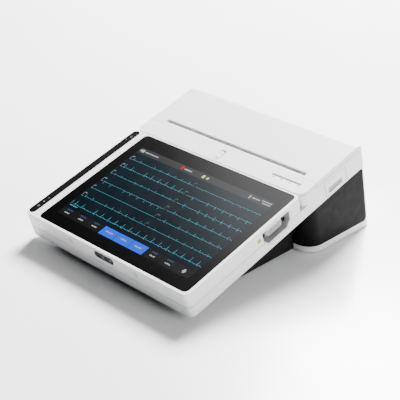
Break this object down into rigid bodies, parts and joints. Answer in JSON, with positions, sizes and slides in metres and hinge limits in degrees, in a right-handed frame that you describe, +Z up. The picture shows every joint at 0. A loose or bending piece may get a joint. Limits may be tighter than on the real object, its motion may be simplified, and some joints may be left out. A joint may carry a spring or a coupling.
{
  "type": "ecg machine",
  "caption": "Desk-top ECG machine: sloping touch display slab, A4 thermal printer with hinged paper door, wedge base, patient connector and side port flap.",
  "frame": {"origin": "centre of the footprint, on the desk", "axes": "+X to the operator's right, +Y to the rear, +Z up"},
  "size_m": [0.268, 0.3172, 0.1144],
  "materials": {
    "white_plastic": "fine spark-eroded texture",
    "white_trim": "satin",
    "dark_plastic": "fine grain",
    "black_plastic": "fine grain",
    "black_gloss": "polished",
    "cover_glass": "optically bonded black glass",
    "display_module": "brushed",
    "light_pipe": "smoked",
    "grey_plastic": "satin",
    "cream_gear": "moulded",
    "bronze": "sintered",
    "brass": "machined",
    "steel": "bright",
    "zinc_sheet": "zinc plated",
    "tin_plate": "tinned",
    "black_steel": "black oxide",
    "insert_plastic": "moulded",
    "heatsink": "extruded",
    "head_ceramic": "glazed",
    "rubber": "ground",
    "board": "solder mask",
    "battery_wrap": "shrink wrap",
    "paper": "thermal paper",
    "card": "spiral wound"
  },
  "bodies": {
    "root": {"lower_case": "white_plastic", "display_frame": "white_plastic", "display_glass": "cover_glass", "display_panel": "display_module", "indicator_strip": "black_gloss", "front_window": "black_gloss", "front_plugs": "white_trim", "printer_deck": "white_plastic", "deck_lights": "light_pipe", "rear_box": "dark_plastic", "rear_band": "white_plastic", "base_wedge": "black_plastic", "battery_cover": "black_plastic", "battery_pack": "battery_wrap", "rubber_feet": "rubber", "case_screws": "steel", "connector_shell": "tin_plate", "connector_insert": "insert_plastic", "connector_contacts": "brass", "jack_screws": "black_steel", "side_ports": "black_plastic", "flap_pins": "steel", "mains_inlet": "black_plastic", "inlet_pins": "steel", "earth_post": "steel", "network_socket": "tin_plate", "usb_sockets": "tin_plate", "main_board": "board", "acquisition_board": "board", "power_board": "board", "speaker": "black_plastic", "paper_bay": "grey_plastic", "printer_frame": "zinc_sheet", "tear_bar": "steel", "stepper_motor": "zinc_sheet", "idler_pin": "steel", "head_pins": "steel", "head_springs": "steel", "door_pins": "steel", "latch_spring": "steel"},
    "door": {"paper_door": "white_plastic", "door_frame": "grey_plastic", "platen_bushes": "bronze"},
    "platen": {"platen_shaft": "steel", "platen_rubber": "rubber", "platen_gear": "cream_gear"},
    "idler": {"idler_gear": "cream_gear"},
    "motor_rotor": {"motor_pinion": "brass"},
    "paper_supply": {"paper_roll": "paper", "roll_core": "card"},
    "latch": {"latch_button": "white_plastic", "latch_bar": "zinc_sheet"},
    "head": {"print_head": "head_ceramic", "head_heatsink": "heatsink"},
    "flap": {"port_flap": "white_plastic"},
    "key": {"power_key": "black_gloss"}
  },
  "joints": [
    {"name": "door_hinge", "type": "hinge", "parent": "root", "child": "door", "pos_m": [0, 0.1354, 0.0942], "axis": [-1, 0, 0], "range_deg": [0, 85]},
    {"name": "platen_spin", "type": "hinge", "parent": "door", "child": "platen", "pos_m": [0, 0.06427, 0.08613], "axis": [1, 0, 0], "continuous": true},
    {"name": "idler_spin", "type": "hinge", "parent": "root", "child": "idler", "pos_m": [0, 0.06345, 0.06689], "axis": [1, 0, 0], "continuous": true},
    {"name": "motor_spin", "type": "hinge", "parent": "root", "child": "motor_rotor", "pos_m": [0, 0.06223, 0.05127], "axis": [1, 0, 0], "continuous": true},
    {"name": "roll_spin", "type": "hinge", "parent": "root", "child": "paper_supply", "pos_m": [0, 0.10207, 0.06966], "axis": [1, 0, 0], "continuous": true},
    {"name": "latch_slide", "type": "slide", "parent": "root", "child": "latch", "axis": [0, 0.9634, 0.2682], "range_m": [0, 0.003], "stiffness_N_per_m": 300, "springref_m": -0.004, "deforming": ["latch_spring"]},
    {"name": "head_pivot", "type": "hinge", "parent": "root", "child": "head", "pos_m": [0, 0.05033, 0.0672], "axis": [1, 0, 0], "range_deg": [0, 2.5], "stiffness_Nm_per_rad": 0.6, "springref_deg": -11.46, "deforming": ["head_springs"]},
    {"name": "flap_hinge", "type": "hinge", "parent": "root", "child": "flap", "pos_m": [0.1329, 0.0804, 0.09155], "axis": [0, -0.9634, -0.2682], "range_deg": [0, 95]},
    {"name": "power_key_travel", "type": "slide", "parent": "root", "child": "key", "axis": [0, 0.2682, -0.9634], "range_m": [0, 0.0008], "stiffness_N_per_m": 900, "springref_m": -0.0006}
  ],
  "couplings": [
    {"joint": "idler_spin", "follows": "platen_spin", "ratio": -0.6},
    {"joint": "motor_spin", "follows": "platen_spin", "ratio": 2}
  ]
}
